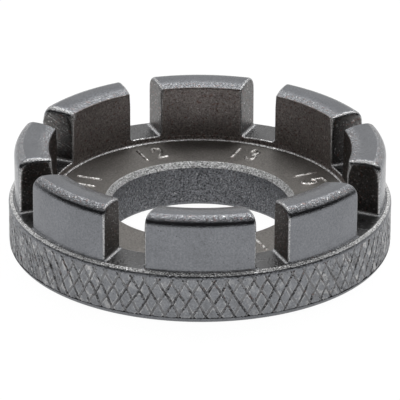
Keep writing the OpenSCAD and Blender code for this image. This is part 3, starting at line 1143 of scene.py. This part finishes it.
class WRENCH_OT_rim(bpy.types.Operator):
    """Build the rim with its slot floors, lip and foot"""
    bl_idname = "wrench.rim"
    bl_label = "Build the rim"

    def execute(self, context):
        finish = context.scene.wrench_finish
        # Slot floors keep the darker rim colour as painted shade, outward and lower faces the open plating,
        # and slanting edges turn bright as a painted highlight
        material = plated_material("Rim plating", finish, finish.shaded_rim_plating, peel=2.6, peel_size=0.24,
                                   rough=0.26, grain=1.6, inside=finish.recess_tone_and_light_color,
                                   inside_rough=finish.recess_rough, inner_peel=0.3,
                                   outside=finish.plating, under=finish.plating,
                                   glint_specks=0.6, edge_wear_and_highlight=1.0)
        mesh = rim_mesh(context.scene.wrench_edges, context.scene.wrench_knurl)
        finished_piece("rim", mesh, material, ["rim_ring"])
        return {"FINISHED"}


class WRENCH_OT_knurl(bpy.types.Operator):
    """Build the knurled band round the rim"""
    bl_idname = "wrench.knurl"
    bl_label = "Build the knurl"

    def execute(self, context):
        finish = context.scene.wrench_finish
        # Burrs and flecks turn bright: polishing by use together with painted glints
        material = plated_material("Knurl plating", finish, finish.knurl_plating, peel=2.0, peel_size=0.26,
                                   rough=0.18, waves=1.8, grain=1.2, burnish_and_glint=0.65)
        finished_piece("knurl", knurl_mesh(context.scene.wrench_knurl), material,
                       ["knurled_grip"])
        return {"FINISHED"}


class WRENCH_OT_jaws(bpy.types.Operator):
    """Build the eight jaws between the slots"""
    bl_idname = "wrench.jaws"
    bl_label = "Build the jaws"

    def execute(self, context):
        finish = context.scene.wrench_finish
        # Faces that look at the bore take a warm tone lightened as painted light, and the slot edges turn
        # bright, polishing by use together with a painted highlight
        common = dict(tint=finish.plating, peel=0.75, peel_size=0.11, rough=0.1, waves=0.5, pits=0.35,
                      grain=1.1, inside=finish.recess_tone_and_light_color, inside_rough=finish.recess_rough,
                      glint_specks=0.55, edge_wear_and_highlight=0.08, slot_wear_and_highlight=0.6, wall=finish.wall_color, wall_rough=0.2)

        def jaw_plating(name, **own):
            return plated_material(name, finish, **{**common, **own})

        plain = jaw_plating("Jaw plating")
        scored = jaw_plating("Scored jaw plating", wall_rough=0.15, marks=0.6)
        # The two front jaws: slot walls darkened as painted shade
        thin = jaw_plating("Painted shade wall jaw plating", wall=finish.painted_shade_wall_color, wall_rough=0.4, marks=0.3)
        # The two side jaws: faces that look at the bore darkened as painted shade
        dark = jaw_plating("Painted shade jaw plating", inside=finish.painted_shade_recess_color)
        own_plating = {3: scored, 4: dark, 5: thin, 7: thin, 8: dark}
        for at, node in enumerate(JAWS, start=1):
            shape = JawShape(at, SLOTS[at - 1], SLOTS[at % len(SLOTS)], context.scene.wrench_rounds)
            finished_piece(f"jaw{at}", jaw_mesh(shape), own_plating.get(at, plain), [node])
        return {"FINISHED"}


# The number at each slot, and how many degrees past the slot's middle it stands
NUMBERS = [("15", 3.7), ("13", 1.8), ("12", 2.3), ("11", 3.0),
           ("16", 2.7), ("9", 2.7), ("14", 2.7), ("10", 2.7)]


class WRENCH_OT_numerals(bpy.types.Operator):
    """Build the raised size number at each slot"""
    bl_idname = "wrench.numerals"
    bl_label = "Build the numerals"

    def execute(self, context):
        finish = context.scene.wrench_finish
        numerals = context.scene.wrench_numerals
        # The digits' tops turn bright: polishing by use together with a painted highlight
        material = plated_material("Numeral plating", finish, finish.inner_plating, peel=0.8,
                                   peel_size=0.18, rough=0.28, waves=0.5, pits=0.0, grain=1.4,
                                   burnish_and_glint=1.0, patches=0.39)
        for slot, (text, past) in zip(SLOTS, NUMBERS):
            points, faces, wear_and_glint = [], [], []
            for at, digit in enumerate(text):
                side = (at - (len(text) - 1) / 2) * numerals.pitch
                place = DigitPlace(slot.angle + math.radians(past), side, numerals)
                spots, quads, rubbed_and_glint = digit_mesh(digit, place, numerals)
                wear_and_glint.append(rubbed_and_glint)
                faces.append(quads + sum(len(p) for p in points))
                points.append(spots)
            mesh = mesh_of("numeral", np.vstack(points), np.vstack(faces))
            mark_wear_and_glint(mesh, np.concatenate(wear_and_glint))
            close_below(mesh, SIZES.web_t - numerals.relief)
            finished_piece(f"numeral_{text}", mesh, material)
        return {"FINISHED"}


class WRENCH_OT_stage(bpy.types.Operator):
    """Set up the pale floor, the soft lights and the camera"""
    bl_idname = "wrench.stage"
    bl_label = "Set up the stage"

    def execute(self, context):
        stage = context.scene.wrench_stage
        lay_floor(stage)
        light_room(context.scene, stage)
        hang_softboxes(stage)
        set_camera(context.scene, stage)
        context.scene.view_settings.view_transform = "Standard"
        return {"FINISHED"}


# Stage

# Where the room turns from its dark front to its pale back, level with the wrench and overhead,
# and where the level part gives way to the overhead one
ROOM_TURN = (-0.05, 0.3)
OVERHEAD_TURN = (-0.65, 0.5)
OVERHEAD_FROM = (0.45, 0.85)


def lay_floor(stage):
    """A matt floor that keeps the shadow, looks nearly white and is open from below."""
    half, z = stage.floor_half, -stage.floor_gap
    mesh = mesh_of("floor", [(-half, -half, z), (half, -half, z), (half, half, z), (-half, half, z)],
                   [(0, 1, 2, 3)])
    floor = bpy.data.objects.new("floor", mesh)
    bpy.context.scene.collection.objects.link(floor)
    material = bpy.data.materials.new("Pale floor")
    nodes = empty_tree(material)
    matt = nodes.add("ShaderNodeBsdfDiffuse")
    matt.inputs["Color"].default_value = opaque(stage.floor_color)
    white = nodes.add("ShaderNodeEmission")
    white.inputs["Strength"].default_value = stage.floor_white
    rays = nodes.add("ShaderNodeLightPath").outputs
    share = nodes.most(nodes.times(rays["Is Camera Ray"], stage.floor_seen),
                       nodes.times(rays["Is Glossy Ray"], stage.floor_mirrored),
                       nodes.times(rays["Is Transmission Ray"], stage.floor_mirrored))
    top = nodes.mix_shaders(share, matt.outputs[0], white.outputs[0])
    below = nodes.add("ShaderNodeNewGeometry").outputs["Backfacing"]
    clear = nodes.add("ShaderNodeBsdfTransparent").outputs[0]
    nodes.fill(nodes.add("ShaderNodeOutputMaterial"), nodes.mix_shaders(below, top, clear))
    mesh.materials.append(material)


def light_room(scene, stage):
    """The room: pale behind the wrench, brighter overhead and dark on the camera's side."""
    scene.world = bpy.data.worlds.new("Studio room")
    nodes = empty_tree(scene.world)
    towards = nodes.add("ShaderNodeTexCoord").outputs["Generated"]
    aside = nodes.size(nodes.dot(towards, (1, 0, 0)))
    depth = nodes.math("SUBTRACT", nodes.dot(towards, (0, 1, 0)), nodes.times(aside, stage.side_fall))
    level = nodes.mix(nodes.step(depth, *ROOM_TURN), stage.room_front, stage.room_back)
    above = nodes.mix(nodes.step(depth, *OVERHEAD_TURN), stage.room_front, stage.room_above)
    room = nodes.mix(nodes.step(nodes.dot(towards, UP), *OVERHEAD_FROM), level, above)
    seen = nodes.add("ShaderNodeLightPath").outputs["Is Camera Ray"]
    background = nodes.add("ShaderNodeBackground")
    nodes.link(nodes.mix(seen, room, 1.0), background.inputs["Strength"])
    nodes.fill(nodes.add("ShaderNodeOutputWorld"), background.outputs[0])


def hang_softboxes(stage):
    """Four softboxes high over the wrench: a strong pair behind it and a weak pair before it."""
    size = stage.box_size
    for name, place, strength in (("Back", stage.back_box, stage.box_strength),
                                  ("Front", stage.front_box, stage.front_box_strength)):
        for side, turned in (("left", -1), ("right", 1)):
            light = bpy.data.lights.new(f"{name} {side} softbox", "AREA")
            light.shape = "SQUARE"
            light.size = size
            light.energy = strength * math.pi * size * size * (1 + turned * stage.box_lean)
            softbox = bpy.data.objects.new(light.name, light)
            bpy.context.scene.collection.objects.link(softbox)
            hung = Vector(place) * Vector((turned, 1, 1))
            aim = hung.to_track_quat("Z", "Y").to_matrix().to_4x4()
            softbox.matrix_world = Matrix.Translation(hung) @ aim


def set_camera(scene, stage):
    """The camera, aimed a little above the middle of the wrench's foot."""
    camera = bpy.data.objects.new("camera", bpy.data.cameras.new("camera"))
    scene.collection.objects.link(camera)
    camera.data.sensor_width = stage.sensor
    camera.data.lens = stage.lens
    camera.data.clip_start = stage.clip_start
    rise = stage.camera_elevation
    place = stage.camera_distance * Vector((0, -math.cos(rise), math.sin(rise)))
    aim = Matrix.Rotation(math.pi / 2 - rise + stage.camera_tilt, 4, "X")
    camera.matrix_world = Matrix.Translation(place) @ aim @ Matrix.Rotation(stage.camera_roll, 4, "Z")
    scene.camera = camera


# Panel and registration

class WRENCH_PT_panel(bpy.types.Panel):
    """Lists the pieces of the wrench"""
    bl_label = "Spoke Wrench"
    bl_idname = "WRENCH_PT_panel"
    bl_space_type = "VIEW_3D"
    bl_region_type = "UI"
    bl_category = "Spoke Wrench"

    def draw(self, context):
        for operator in OPERATORS:
            self.layout.operator(operator.bl_idname)
        for name, group in SETTINGS.items():
            box = self.layout.box()
            box.label(text=group.__doc__)
            for key in group.__annotations__:
                box.prop(getattr(context.scene, name), key)


OPERATORS = (WRENCH_OT_stage, WRENCH_OT_web, WRENCH_OT_rim, WRENCH_OT_knurl, WRENCH_OT_jaws,
             WRENCH_OT_numerals)
SETTINGS = {"wrench_edges": WrenchEdges, "wrench_knurl": WrenchKnurl, "wrench_rounds": WrenchRounds,
            "wrench_numerals": WrenchNumerals, "wrench_finish": WrenchFinish,
            "wrench_stage": WrenchStage}


def register():
    for cls in (*SETTINGS.values(), *OPERATORS, WRENCH_PT_panel):
        bpy.utils.register_class(cls)
    for name, group in SETTINGS.items():
        setattr(bpy.types.Scene, name, bpy.props.PointerProperty(type=group))


def unregister():
    for name in SETTINGS:
        delattr(bpy.types.Scene, name)
    for cls in reversed((*SETTINGS.values(), *OPERATORS, WRENCH_PT_panel)):
        bpy.utils.unregister_class(cls)


def main():
    register()
    for operator in OPERATORS:
        family, name = operator.bl_idname.split(".")
        getattr(getattr(bpy.ops, family), name)()
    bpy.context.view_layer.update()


if __name__ == "__main__":
    main()
